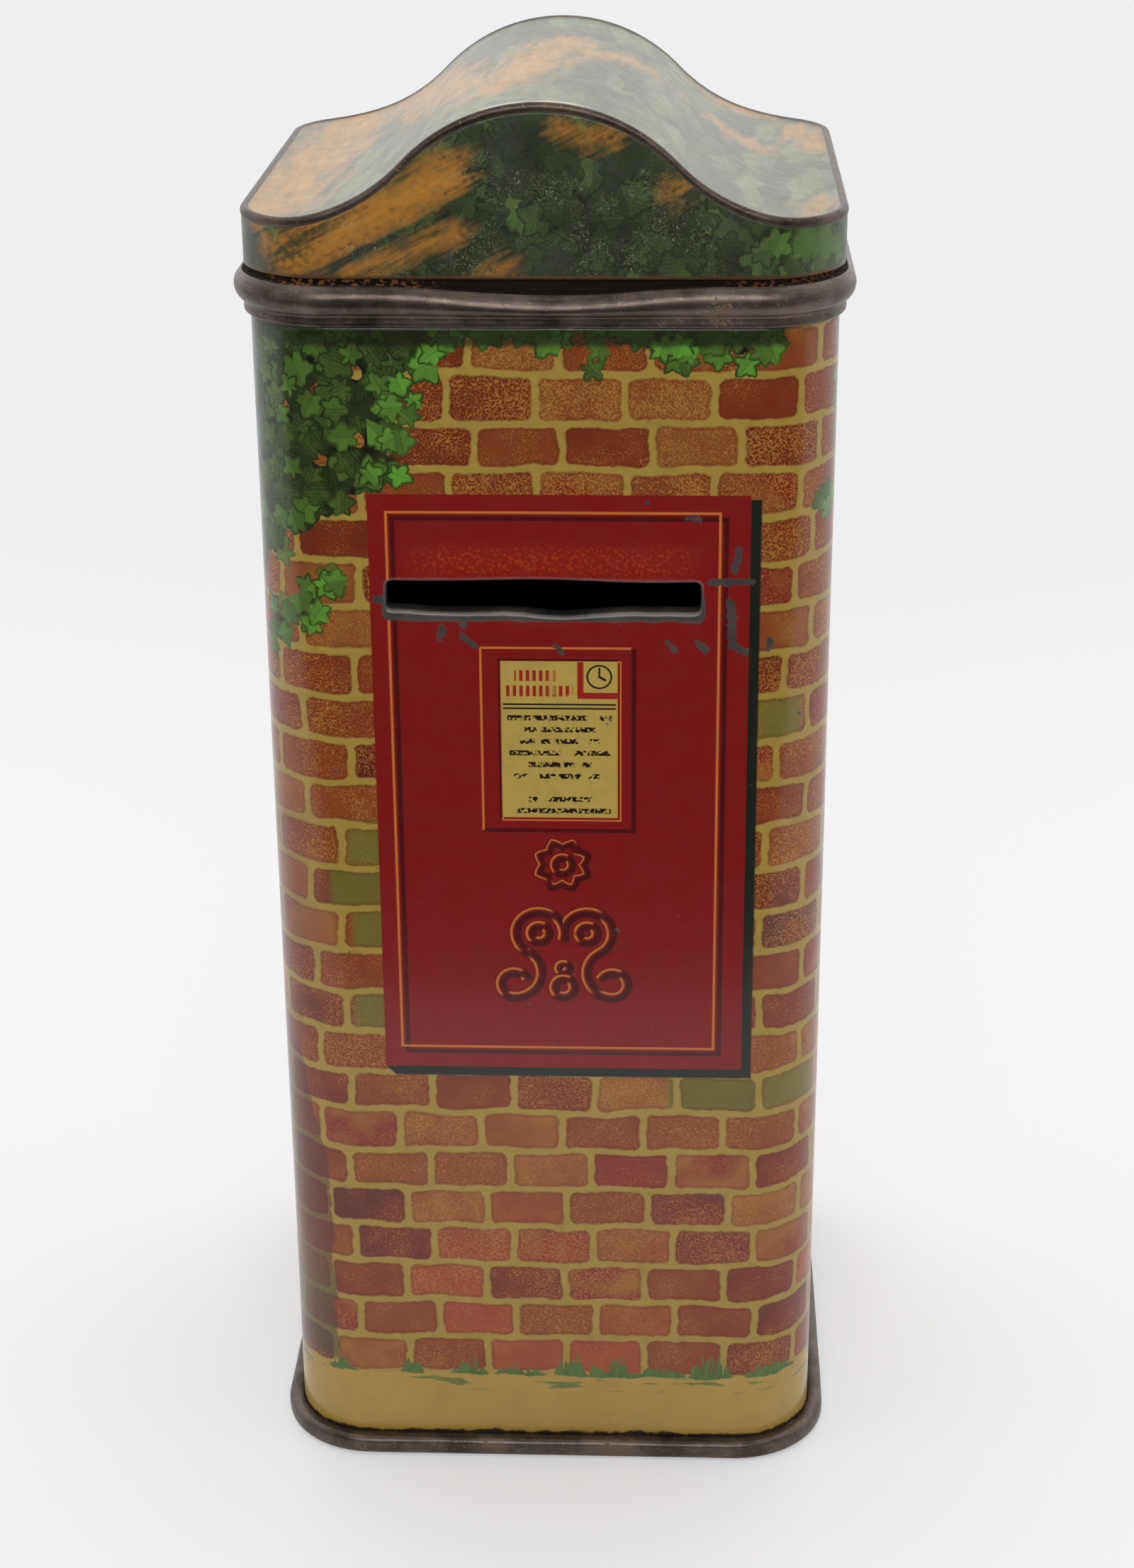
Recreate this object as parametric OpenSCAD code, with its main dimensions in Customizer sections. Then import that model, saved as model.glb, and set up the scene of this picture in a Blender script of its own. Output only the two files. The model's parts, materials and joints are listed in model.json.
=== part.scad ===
// Tin money box: a tall square printed tin with a coin slot, a plain beaded collar
// round its mouth and a wave-topped lid that slips over the collar.
// Millimetres. Origin at the bottom centre of the base rim, +Z up, coin slot facing -Y.

/* [Body] */
// Width of the body wrap across the front
body_w = 60; // [50:1:80]
// Depth of the body wrap from front to back
body_d = 60; // [50:1:80]
// Height of the body wrap's top flange above the floor
body_top = 133.95; // [100:0.05:170]
// Outside radius of the body's upright corners
corner_r = 9; // [6:0.5:14]
// Thickness of the tinplate sheet
sheet_t = 0.3; // [0.25:0.05:0.35]

/* [Coin slot] */
// Width of the coin slot
slot_w = 32.4; // [20:0.2:38]
// Height of the coin slot
slot_h = 3.1; // [2.2:0.1:3.6]
// Height of the slot's centre above the floor
slot_z = 105.1; // [60:0.5:120]
// Radius of the slot's corners
slot_r = 0.6; // [0.3:0.1:0.9]
// How far the slot's lips are turned into the tin
lip_depth = 2; // [1:0.1:3]

/* [Base] */
// Height of the rolled rim under the body
rim_h = 2.3; // [2:0.1:3]
// How far the rolled rim stands out from the body
rim_out = 1.8; // [1.4:0.1:2.4]
// Height of the base panel above the floor
base_recess = 3.2; // [2.8:0.1:6]
// Height of the pressed step in the base panel
base_step = 0.6; // [0.4:0.1:1.2]
// Width of the flat border round the pressed step
base_border = 6; // [4:0.5:7]

/* [Collar] */
// Height of the rolled bead round the mouth
bead_h = 3.4; // [3.2:0.1:4.2]
// How far the bead stands out from the body
bead_out = 1.6; // [1.2:0.1:1.6]
// Height of the hem under the bead
hem_h = 1; // [0.95:0.05:1.4]
// How far the hem stands out from the body
hem_out = 0.65; // [0.6:0.05:0.8]
// Height of the neck above the bead
neck_h = 4.5; // [3:0.1:4.5]
// Depth of the fold along the neck's top edge
neck_fold = 1.5; // [1:0.1:2]

/* [Lid] */
// How far the lid's wall stands out from the body
lid_out = 0.5; // [0.45:0.05:0.8]
// Gap between the lid's lower edge and the bead
lid_gap = 0.4; // [0.2:0.05:1]
// Height of the lid at its left and right sides
lid_side_h = 5.8; // [5.8:0.1:9]
// Height of the wave above the lid's sides
wave_h = 11.4; // [6:0.2:13]
// Distance from the wave's crest to each trough
wave_reach = 27; // [22:0.5:28]
// Height of the band that the lid's top turns down over its wall
seam_h = 1; // [0.8:0.1:1.2]

/* [Seams] */
// Width of the upright seams at the back
seam_w = 3.5; // [3:0.5:5]
// Clearance inside the folded seams
seam_gap = 0.05; // [0.03:0.01:0.06]

/* [Hidden] */
$fn = 64;

wall_in = -sheet_t;                       // inner face of the body wall, from the body outline
flange_z = sheet_t + seam_gap;            // underside of the body's bottom flange
wrap_bottom = flange_z;                   // lower end of the body wrap
lock_groove_w = 0.4;                      // width of the seam line seen from outside
lock_groove_d = sheet_t / 2;              // depth of that line
lock_folds = 2;                           // layers of the lock seam inside the wall

rim_r = 0.8;                              // outside rounding of the rolled base rim
foot_out = rim_out - rim_r;               // edge of the body's bottom flange, short of the rounding
skirt_out = wall_in - seam_gap;           // outer face of the base panel's skirt
skirt_in = skirt_out - sheet_t;

hem_top = body_top + seam_gap;            // underside of the hem's upper layer
bead_bottom = hem_top + sheet_t;
hem_upper_top = bead_bottom + 0.1;        // the hem's upper layer runs a little way into the bead
ring_bottom = bead_bottom - hem_h;
bead_top = bead_bottom + bead_h;
bead_z = bead_bottom + bead_h / 2;
neck_top = bead_top + neck_h;

lid_bottom = bead_top + lid_gap;
lid_low = lid_bottom + lid_side_h;        // height of the wave's troughs
lid_in = lid_out - sheet_t;               // inner face of the lid wall
joggle_out = lid_in - seam_gap;           // outer face of the lid wall's stepped-in top edge
joggle_in = joggle_out - sheet_t;
wave_angle = 2 * atan(wave_h / wave_reach);
wave_r = wave_reach / (2 * sin(wave_angle));
wave_steps = 12;                          // facets in each quarter of the wave
lap_t = 0.25;                             // thickness of the lid's lapped seam
reach = body_w;                           // larger than half of the whole part in X or Y

// ---------- plan shapes and runs round the outline ----------

// The body's outline in plan, grown outwards by out
module plan(out = 0) {
    w = body_w + 2 * out;
    d = body_d + 2 * out;
    r = corner_r + out;
    square([w - 2 * r, d], center = true);
    square([w, d - 2 * r], center = true);
    for (x = [-1, 1], y = [-1, 1])
        translate([x * (w / 2 - r), y * (d / 2 - r)]) circle(r);
}

// An upright wall that follows the outline, between two distances from it
module wall(inner, outer, low, high) {
    translate([0, 0, low])
        linear_extrude(high - low)
            difference() {
                plan(outer);
                plan(inner);
            }
}

// A level plate that fills the outline
module plate(out, low, high) {
    translate([0, 0, low]) linear_extrude(high - low) plan(out);
}

// Carries a section round the outline: its x is the distance outwards, its y the height
module follow_outline() {
    for (turn = [0, 90, 180, 270]) {
        across = turn % 180 == 0 ? body_w : body_d;
        along = turn % 180 == 0 ? body_d : body_w;
        rotate([0, 0, turn]) {
            translate([across / 2, 0, 0])
                rotate([90, 0, 0])
                    linear_extrude(along - 2 * corner_r, center = true) children();
            translate([across / 2 - corner_r, along / 2 - corner_r, 0])
                rotate_extrude(angle = 90)
                    translate([corner_r, 0]) children();
        }
    }
}

// A rectangle given by its corners
module span(x0, x1, y0, y1) {
    translate([x0, y0]) square([x1 - x0, y1 - y0]);
}

// A rectangle whose two outer corners are rounded
module rounded_end(x0, x1, y0, y1, r) {
    span(x0, x1 - r, y0, y1);
    span(x1 - 2 * r, x1, y0 + r, y1 - r);
    for (y = [y0 + r, y1 - r]) translate([x1 - r, y]) circle(r);
}

// ---------- the wave ----------

// Points of the wave seen from the front, moved off its surface by lift
function wave_line(lift) = concat(
    [[-reach, lid_low + lift]],
    [for (i = [0 : wave_steps])
        let (a = wave_angle * i / wave_steps, r = wave_r - lift)
        [-wave_reach + r * sin(a), lid_low + wave_r - r * cos(a)]],
    [for (i = [1 - wave_steps : wave_steps - 1])
        let (a = wave_angle * i / wave_steps, r = wave_r + lift)
        [r * sin(a), lid_low + wave_h - wave_r + r * cos(a)]],
    [for (i = [wave_steps : -1 : 0])
        let (a = wave_angle * i / wave_steps, r = wave_r - lift)
        [wave_reach - r * sin(a), lid_low + wave_r - r * cos(a)]],
    [[reach, lid_low + lift]]
);

function reversed(list) = [for (i = [len(list) - 1 : -1 : 0]) list[i]];

// Turns a front view into a block that runs right through the tin
module front_to_back() {
    rotate([90, 0, 0]) linear_extrude(2 * reach, center = true) children();
}

// Everything between the wave lowered by deep and by shallow
module wave_layer(deep, shallow) {
    front_to_back() polygon(concat(wave_line(-shallow), reversed(wave_line(-deep))));
}

// Everything between a level and the wave lowered by shallow
module under_wave(low, shallow) {
    front_to_back() polygon(concat(wave_line(-shallow), [[reach, low], [-reach, low]]));
}

// ---------- parts ----------

module slot_outline(grow) {
    w = slot_w + 2 * grow;
    h = slot_h + 2 * grow;
    r = slot_r + grow;
    square([w - 2 * r, h], center = true);
    square([w, h - 2 * r], center = true);
    for (x = [-1, 1], y = [-1, 1])
        translate([x * (w / 2 - r), y * (h / 2 - r)]) circle(r);
}

// A bar of the slot's outline, from the front face to a depth inside it
module slot_bar(grow, from, to) {
    translate([0, -body_d / 2 + to, slot_z])
        rotate([90, 0, 0]) linear_extrude(to - from) slot_outline(grow);
}

// Printed wrap: wall, turned-out flanges, turned-in slot lips and lock seam at the back
module body_wall() {
    seam_y = body_d / 2;
    color("sienna")
    difference() {
        union() {
            wall(wall_in, 0, wrap_bottom, body_top);
            wall(wall_in, foot_out, flange_z, flange_z + sheet_t);
            wall(wall_in, hem_out - sheet_t - seam_gap, body_top - sheet_t, body_top);
            slot_bar(sheet_t, 0, lip_depth);
            translate([-seam_w / 2, seam_y - (1 + lock_folds) * sheet_t, base_recess + 1])
                cube([seam_w, lock_folds * sheet_t, body_top - base_recess - 2]);
        }
        slot_bar(0, -1, lip_depth + 1);
        translate([seam_w / 2 - lock_groove_w, seam_y - lock_groove_d, rim_h])
            cube([lock_groove_w, lock_groove_d + 1, ring_bottom - rim_h]);
    }
}

// Plain collar: hem gripping the body's top flange, hollow bead and folded neck
module neck_ring() {
    color("dimgray")
    union() {
        follow_outline() {
            difference() {
                span(seam_gap, hem_out, ring_bottom, hem_upper_top);
                span(0, hem_out - sheet_t, ring_bottom + sheet_t, hem_top);
            }
            span(wall_in, hem_out, hem_top, hem_upper_top);
            intersection() {
                difference() {
                    bead_outline(0);
                    bead_outline(sheet_t);
                }
                span(wall_in, 2 * bead_out, bead_bottom, bead_top);
            }
        }
        wall(wall_in, 0, bead_top - sheet_t, neck_top);
        wall(wall_in - sheet_t, wall_in, neck_top - neck_fold, neck_top);
    }
}

// Section of the bead, shrunk by inset
module bead_outline(inset) {
    half_flat = bead_h / 2 - bead_out;
    for (z = [-half_flat, half_flat])
        translate([0, bead_z + z]) circle(bead_out - inset);
    translate([0, bead_z]) square([2 * (bead_out - inset), 2 * half_flat], center = true);
}

// Sunk base panel whose edge is rolled round the body's bottom flange
module base_plate() {
    panel_top = base_recess + sheet_t;
    color("dimgray")
    union() {
        follow_outline()
            difference() {
                rounded_end(skirt_in, rim_out, 0, rim_h, rim_r);
                rounded_end(skirt_in - 1, rim_out - sheet_t, sheet_t, rim_h - sheet_t, rim_r - sheet_t);
                span(skirt_in - 1, seam_gap, sheet_t, rim_h + 1);
            }
        wall(skirt_in, skirt_out, 0, panel_top);
        wall(-base_border, skirt_out, base_recess, panel_top);
        wall(-base_border - sheet_t, -base_border, base_recess, panel_top + base_step);
        plate(-base_border, base_recess + base_step, panel_top + base_step);
    }
}

// Printed band of the lid, stepped in along its wavy top edge, lapped at the back
module lid_wall() {
    color("darkolivegreen")
    union() {
        intersection() {
            wall(lid_in, lid_out, lid_bottom, lid_low + wave_h + 1);
            under_wave(lid_bottom, seam_h);
        }
        intersection() {
            wall(joggle_in, lid_out, lid_bottom, lid_low + wave_h + 1);
            wave_layer(seam_h + sheet_t, seam_h);
        }
        intersection() {
            wall(joggle_in, joggle_out, lid_bottom, lid_low + wave_h + 1);
            wave_layer(seam_h + sheet_t, sheet_t);
        }
        intersection() {
            translate([-seam_w / 2, body_d / 2 + lid_in, lid_bottom])
                cube([seam_w, sheet_t + lap_t, lid_side_h + wave_h]);
            under_wave(lid_bottom, seam_h);
        }
    }
}

// Printed wavy top, its edge turned down over the lid's wall
module lid_top() {
    color("darkseagreen")
    union() {
        intersection() {
            plate(lid_out, lid_bottom, lid_low + wave_h + 1);
            wave_layer(sheet_t, 0);
        }
        intersection() {
            wall(lid_in, lid_out, lid_bottom, lid_low + wave_h + 1);
            wave_layer(seam_h, 0);
        }
    }
}

body_wall();
neck_ring();
base_plate();
lid_wall();
lid_top();
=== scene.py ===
import json
import math

import bmesh
import bpy
from mathutils import Matrix, Vector
from mathutils import noise as perlin

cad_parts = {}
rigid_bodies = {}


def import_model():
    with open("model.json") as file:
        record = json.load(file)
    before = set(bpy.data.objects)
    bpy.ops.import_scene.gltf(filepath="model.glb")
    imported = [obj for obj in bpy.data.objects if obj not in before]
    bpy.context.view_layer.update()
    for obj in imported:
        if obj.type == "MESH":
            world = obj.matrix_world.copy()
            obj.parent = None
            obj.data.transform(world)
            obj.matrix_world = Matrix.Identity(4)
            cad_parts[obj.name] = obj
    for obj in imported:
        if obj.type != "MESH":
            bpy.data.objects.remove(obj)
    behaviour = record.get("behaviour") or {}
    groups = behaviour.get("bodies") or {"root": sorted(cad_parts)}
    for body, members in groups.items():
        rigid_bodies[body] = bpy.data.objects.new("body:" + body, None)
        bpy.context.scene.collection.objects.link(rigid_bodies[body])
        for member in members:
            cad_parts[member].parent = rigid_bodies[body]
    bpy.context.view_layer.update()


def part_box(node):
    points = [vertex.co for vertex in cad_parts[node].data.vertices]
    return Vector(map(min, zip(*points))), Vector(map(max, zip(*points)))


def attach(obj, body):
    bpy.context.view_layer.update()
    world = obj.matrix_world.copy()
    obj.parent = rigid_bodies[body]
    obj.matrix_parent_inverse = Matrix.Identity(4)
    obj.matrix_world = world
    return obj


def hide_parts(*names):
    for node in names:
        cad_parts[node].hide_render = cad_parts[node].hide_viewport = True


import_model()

# ---- sizes, in millimetres

MM = 0.001


def corners(node):
    """The lowest and highest corner of a CAD node, in millimetres."""
    low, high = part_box(node)
    return Vector(low) / MM, Vector(high) / MM


COLLAR_LOW, COLLAR_HIGH = corners("neck_ring")
TOP_HIGH = corners("lid_top")[1]
WRAP_TOP = corners("body_wall")[1].z
LID_FOOT = corners("lid_wall")[0].z

SHEET = 0.3  # thickness of the tinplate
GAP = 0.05  # clearance inside the folded seams
CORNER = 9  # corner radius of the body in plan
LID_OUT = 0.5  # how far the lid's wall stands outside the body's
HALF = TOP_HIGH.x - LID_OUT  # half the body's width
FLAT = HALF - CORNER  # half the flat part of a side
SIDE = 2 * FLAT + CORNER * math.pi / 2  # length of a side, from corner middle to corner middle
AROUND = 4 * SIDE  # the whole way round the body
COLUMNS = [AROUND * (i / 240 - 0.5) for i in range(241)]

SLOT_HALF_W, SLOT_HALF_H, SLOT_R = 16.2, 1.55, 0.6
SLOT_Z = 105.1  # height of the slot's middle
LIP_DEPTH = 2  # how far the lips are turned in

HEM_OUT, HEM_H = 0.65, 1  # hem under the bead
BEAD_OUT, BEAD_H = 1.6, 3.4
BEAD_Z = COLLAR_LOW.z + HEM_H + BEAD_H / 2
RIM_OUT = corners("base_plate")[1].x - HALF  # how far the base rim stands out
RIM_H, RIM_R = 2.3, 0.8
BASE_RECESS, BASE_STEP, BASE_BORDER = 3.2, 0.6, 6

SEAM_H = 1  # band that the lid's top turns down over its wall
SEAM_W = 3.5  # upright seams at the back
WAVE_H, WAVE_REACH = 11.4, 27  # height of the lid's wave, and from crest to trough
WAVE_ANGLE = 2 * math.atan(WAVE_H / WAVE_REACH)
WAVE_R = WAVE_REACH / (2 * math.sin(WAVE_ANGLE))
WAVE_LOW = TOP_HIGH.z - WAVE_H


def wave(x):
    """Height of the lid's top at a distance x from its middle."""
    x = abs(x)
    if x < WAVE_REACH / 2:
        return TOP_HIGH.z - WAVE_R + math.sqrt(WAVE_R ** 2 - x ** 2)
    if x < WAVE_REACH:
        return WAVE_LOW + WAVE_R - math.sqrt(WAVE_R ** 2 - (WAVE_REACH - x) ** 2)
    return WAVE_LOW


def outline(s, out):
    """The plan point at distance s round the body from its front middle, moved outwards by out."""
    side = math.floor(s / SIDE + 0.5)
    along = s - side * SIDE
    turn = max(abs(along) - FLAT, 0) / CORNER
    reach = FLAT + (CORNER + out) * math.sin(turn) if turn else abs(along)
    x, y = math.copysign(reach, along), -FLAT - (CORNER + out) * math.cos(turn)
    for _ in range(side % 4):
        x, y = -y, x
    return x, y


def waver(*place):
    """Smooth noise for the shapes, from -1 to 1."""
    return perlin.noise(Vector(place))


def bump_of(x, middle, reach):
    """A smooth hump, 1 at its middle and 0 beyond its reach."""
    t = min(abs(x - middle) / reach, 1)
    return (1 - t * t) ** 2


def stops(breaks, step):
    """The breaks, with even steps of at most step between them."""
    made = [breaks[0]]
    for low, high in zip(breaks, breaks[1:]):
        count = max(1, math.ceil((high - low) / step - 1e-6))
        made += [low + (high - low) * i / count for i in range(1, count + 1)]
    return made


# ---- meshes


class Ring:
    """A closed row of points. It has one print place more than points, for its far end."""

    def __init__(self, ids, places, depth):
        self.ids, self.places, self.depth = ids, places, depth

    def at(self, depth):
        """The same row at another depth of its band of the bake's square."""
        return Ring(self.ids, self.places, depth)


def whole(low, high):
    """Lays a swept surface in a band of the bake's square, the whole way round from left to right."""
    return lambda middle, s, depth: (0.01 + 0.98 * (s / AROUND + 0.5), low + (high - low) * depth)


def filled(x, y, half_x, half_y):
    """Lays a filled surface in a rectangle of the bake's square."""
    return lambda u, v: (x + half_x * u, y + half_y * v)


class Skin:
    """A mesh in the making: rings joined by quads, with a print map in millimetres."""

    def __init__(self):
        self.points, self.faces, self.prints, self.bakes, self.coats = [], [], [], [], []

    def add_ring(self, points, places, depth=0):
        first = len(self.points)
        self.points += points
        return Ring(list(range(first, first + len(points))), places, depth)

    def around(self, columns, out, height, depth):
        """A ring round the body. out and height are numbers or functions of s."""
        points = []
        for s in columns[:-1]:
            x, y = outline(s, out(s) if callable(out) else out)
            points.append((x, y, height(s, x) if callable(height) else height))
        return self.add_ring(points, [(s, depth) for s in columns], depth)

    def face(self, ids, prints, bakes, coat):
        self.faces.append(ids)
        self.prints.append(prints)
        self.bakes.append(bakes)
        self.coats.append(coat)

    def join(self, a, b, coat, bake, skip=()):
        """Quads between two rings of equal length, apart from the columns in skip."""
        count = len(a.ids)
        for i in range(count):
            if i in skip:
                continue
            j = (i + 1) % count
            places = (a.places[i], a.places[i + 1], b.places[i + 1], b.places[i])
            middle = (a.places[i][0] + a.places[i + 1][0]) / 2
            bakes = [bake(middle, place[0], depth)
                     for place, depth in zip(places, (a.depth, a.depth, b.depth, b.depth))]
            self.face((a.ids[i], a.ids[j], b.ids[j], b.ids[i]), places, bakes, coat)

    def chain(self, rings, coat, bake):
        """Joins each ring with the next one. coat is a number or a function of the ring's number."""
        for i, (a, b) in enumerate(zip(rings, rings[1:])):
            self.join(a, b, coat(i) if callable(coat) else coat, bake)

    def sweep(self, section, coat, low, high, closed=True):
        """Carries a section of (out, height) points round the body. Returns its first and last ring."""
        rings = [self.around(COLUMNS, *point, i / len(section)) for i, point in enumerate(section)]
        if closed:
            rings.append(rings[0].at(1))
        self.chain(rings, coat, whole(low, high))
        return rings[0], rings[-1]

    def fill(self, ring, out, height, coat, bake):
        """Closes a ring round the body with a grid of quads that follows height(x, y)."""
        count = len(ring.ids) // 4
        ids = {}
        for a in range(count + 1):
            for b in range(count + 1):
                u, v = 2 * a / count - 1, 2 * b / count - 1
                m = max(abs(u), abs(v))
                s = square_place(u, v, m)
                if m == 1:
                    ids[a, b] = ring.ids[round((s / AROUND + 0.5) * 4 * count) % (4 * count)]
                    continue
                x, y = outline(s, out)
                blend = m * m
                point = (x * m * blend + u * HALF * (1 - blend), y * m * blend + v * HALF * (1 - blend))
                ids[a, b] = len(self.points)
                self.points.append((*point, height(*point)))
        for a in range(count):
            for b in range(count):
                quad = (ids[a, b], ids[a + 1, b], ids[a + 1, b + 1], ids[a, b + 1])
                flat = [self.points[i][:2] for i in quad]
                self.face(quad, flat, [bake(x / HALF, y / HALF) for x, y in flat], coat)

    def build(self, name, coats, body, node):
        """Makes the object, rides it on its body and puts it in the place of its CAD node."""
        mesh = bpy.data.meshes.new(name)
        mesh.from_pydata([Vector(point) * MM for point in self.points], [], self.faces)
        for layer, table in (("print", self.prints), ("OFBake", self.bakes)):
            places = mesh.uv_layers.new(name=layer).data
            for loop, place in enumerate(place for face in table for place in face):
                places[loop].uv = place
        for polygon, coat in zip(mesh.polygons, self.coats):
            polygon.material_index, polygon.use_smooth = coat, True
        for coat in coats:
            mesh.materials.append(coat)
        tidy_mesh(mesh)
        made = show(name, mesh)
        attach(made, body)
        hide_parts(node)


def square_place(u, v, m):
    """Distance round the body that belongs to a point on a square of half-width m."""
    if m == 0:
        return 0
    if v == -m:
        side, t = 0, u
    elif u == m:
        side, t = 1, v
    elif v == m:
        side, t = 2, -u
    else:
        side, t = -1, -v
    return (side + t / m / 2) * SIDE


def show(name, data):
    """Adds an object to the scene."""
    made = bpy.data.objects.new(name, data)
    bpy.context.scene.collection.objects.link(made)
    return made


def tidy_mesh(mesh):
    """Drops loose points and turns every face outwards."""
    made = bmesh.new()
    made.from_mesh(mesh)
    loose = [v for v in made.verts if not v.link_faces]
    bmesh.ops.delete(made, geom=loose, context="VERTS")
    bmesh.ops.recalc_face_normals(made, faces=made.faces)
    made.to_mesh(mesh)
    made.free()


# ---- the printed wrap

PATCH_W, PATCH_LOW, PATCH_HIGH = 19.5, SLOT_Z - 6, SLOT_Z + 6
FOLD_S = AROUND / 2 - SEAM_W / 2  # the line that the lock seam shows at the back
FOLD_W, FOLD_DEPTH = 0.4, 0.15
WRAP_FOOT = 2 * SHEET + GAP  # lower end of the wrap, inside the base rim
FRONT_HALF = 31  # half the width that the front's share of the bake covers
FRONT_SCALE, SIDE_SCALE, INSIDE_SCALE = 0.0073, 0.0038, 0.0022  # bake's square per millimetre
EDGE, MIDDLE, INSIDE_LOW, LIP_LOW, LIP_H = 0.01, 0.475, 0.66, 0.95, 0.045  # places in that square
PRINTED_RINGS, BARE_RINGS = 6, 14  # the slot's lips are printed up to one ring, bare up to another


def sag(s, z):
    """The slight waves of thin sheet, outwards."""
    fade = min(1, max(0, z - 4) / 8, max(0, WRAP_TOP - 3 - z) / 8)
    return 0.1 * fade * waver(s * 0.045, z * 0.035, 3.7)


def fold_depth(s):
    return FOLD_DEPTH if FOLD_S - 0.01 < s < FOLD_S + FOLD_W + 0.01 else 0


def lip_push(x, z):
    """How far the slot's lips are bent: the lower one sags in two places, the upper one bows up."""
    near = bump_of(z, SLOT_Z, 5.2)
    if z < SLOT_Z:
        dents = 0.55 * bump_of(x, 2.2, 6.5) + 0.16 * bump_of(x, -8, 7) - 0.2 * bump_of(x, -15, 4)
        return -near * (dents + 0.1 * waver(x * 0.5, 0, 1.3))
    return near * (0.22 * bump_of(x, -1, 9) - 0.12 * bump_of(x, 11, 6))


def lip_ring(skin, edge, grow, depth, blend=1):
    """The slot's outline, grow wider and depth behind the front, or partly the patch's edge."""
    points, places = [], []
    for x, z in edge:
        rise = z - SLOT_Z
        small = Vector((x * SLOT_HALF_W / PATCH_W, rise * SLOT_HALF_H / (PATCH_HIGH - SLOT_Z)))
        core = Vector((max(-SLOT_HALF_W + SLOT_R, min(SLOT_HALF_W - SLOT_R, small.x)),
                       max(-SLOT_HALF_H + SLOT_R, min(SLOT_HALF_H - SLOT_R, small.y))))
        place = core + (small - core).normalized() * (SLOT_R + grow)
        px, pz = x + (place.x - x) * blend, rise + (place.y - rise) * blend + SLOT_Z
        pz += lip_push(px, pz)
        points.append((px, -HALF - sag(px, pz) + depth, pz))
        places.append((px, pz))
    return skin.add_ring(points, places + places[:1], depth)


def make_wrap(coats):
    """Printed body wall with the coin slot's turned-in lips and the seam line at the back."""
    skin = Skin()
    half = AROUND / 2
    patch_edges = [-PATCH_W, -PATCH_W + 0.35, -PATCH_W + 0.75, PATCH_W - 0.75, PATCH_W - 0.35, PATCH_W]
    turns = [side * SIDE + end * FLAT for side in (-1, 0, 1) for end in (-1, 1)]
    fold = [FOLD_S - 0.06, FOLD_S, FOLD_S + FOLD_W, FOLD_S + FOLD_W + 0.06]
    columns = stops(sorted([-half, -half + FLAT, half - FLAT, half] + turns + patch_edges + fold), 1.2)
    rows = stops([WRAP_FOOT, PATCH_LOW, PATCH_HIGH, WRAP_TOP], 1.5)
    first, last = columns.index(-PATCH_W), columns.index(PATCH_W)
    patch = [i for i, z in enumerate(rows) if PATCH_LOW - 0.01 < z < PATCH_HIGH + 0.01]

    def wall(inset, kept):
        return {i: skin.around(columns, lambda s: sag(s, rows[i]) - inset - fold_depth(s) * (inset == 0),
                               rows[i], rows[i]) for i in kept}

    def layout(middle, s, depth):
        if abs(middle) < FRONT_HALF:
            return EDGE + (s + FRONT_HALF) * FRONT_SCALE, EDGE + depth * FRONT_SCALE
        s = s - FRONT_HALF if middle > 0 else s + AROUND - FRONT_HALF
        return MIDDLE + depth * SIDE_SCALE, EDGE + s * SIDE_SCALE

    def inside(middle, s, depth):
        return MIDDLE + (s / AROUND + 0.5) * 0.5, INSIDE_LOW + depth * INSIDE_SCALE

    def hole(i):
        return range(first, last) if i in patch[:-1] else ()

    outer = wall(0, range(len(rows)))
    kept = sorted(set(range(0, len(rows), 6)) | set(patch) | {len(rows) - 1})
    inner = wall(SHEET, kept)
    for i in range(len(rows) - 1):
        skin.join(outer[i], outer[i + 1], 0, layout, hole(i))
    for i, j in zip(kept, kept[1:]):
        skin.join(inner[i], inner[j], 2, inside, hole(i))
    for i in (0, len(rows) - 1):
        skin.join(outer[i], inner[i], 1, inside)

    loop = [(i, patch[0]) for i in range(first, last)] + [(last, j) for j in patch[:-1]]
    loop += [(i, patch[-1]) for i in range(last, first, -1)] + [(first, j) for j in patch[:0:-1]]
    edge = [(columns[i], rows[j]) for i, j in loop]
    start = Ring([outer[j].ids[i] for i, j in loop], edge + edge[:1], 0)
    end = Ring([inner[j].ids[i] for i, j in loop], edge + edge[:1], 1)
    profile = [(2, 0, 0.4), (1.6, 0, 0.8), (1.15, -0.03), (0.8, -0.11), (0.5, -0.12), (0.22, 0),
               (0.05, 0.22), (0, 0.5), (0, 1.1), (0.04, LIP_DEPTH - 0.1), (0.14, LIP_DEPTH),
               (SHEET, LIP_DEPTH - 0.1), (SHEET, 1), (SHEET + 0.2, 0.5), (1.3, SHEET), (2, SHEET, 0.5)]
    rings = [start] + [lip_ring(skin, edge, *step) for step in profile] + [end]
    count = len(edge)
    for i, (a, b) in enumerate(zip(rings, rings[1:])):
        coat = 0 if i < PRINTED_RINGS else 1 if i < BARE_RINGS else 2
        low, high = [LIP_LOW + LIP_H * n / len(rings) for n in (i, i + 1)]
        for k in range(count):
            n = (k + 1) % count
            spots = (a.places[k], a.places[k + 1], b.places[k + 1], b.places[k])
            left, right = MIDDLE + 0.5 * k / count, MIDDLE + 0.5 * (k + 1) / count
            bakes = [(left, low), (right, low), (right, high), (left, high)]
            if coat == 0:
                bakes = [layout(0, *spot) for spot in spots]
            skin.face((a.ids[k], a.ids[n], b.ids[n], b.ids[k]), spots, bakes, coat)
    skin.build("printed_wrap", coats, "tin", "body_wall")


# ---- plain tinplate pieces


def arc(middle, radius, first, last, count, rise=None):
    """Points of a round, or of an ellipse if rise is given, between two angles in degrees."""
    rise = rise or radius
    angles = [math.radians(first + (last - first) * i / count) for i in range(count + 1)]
    return [(middle[0] + radius * math.cos(a), middle[1] + rise * math.sin(a)) for a in angles]


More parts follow.
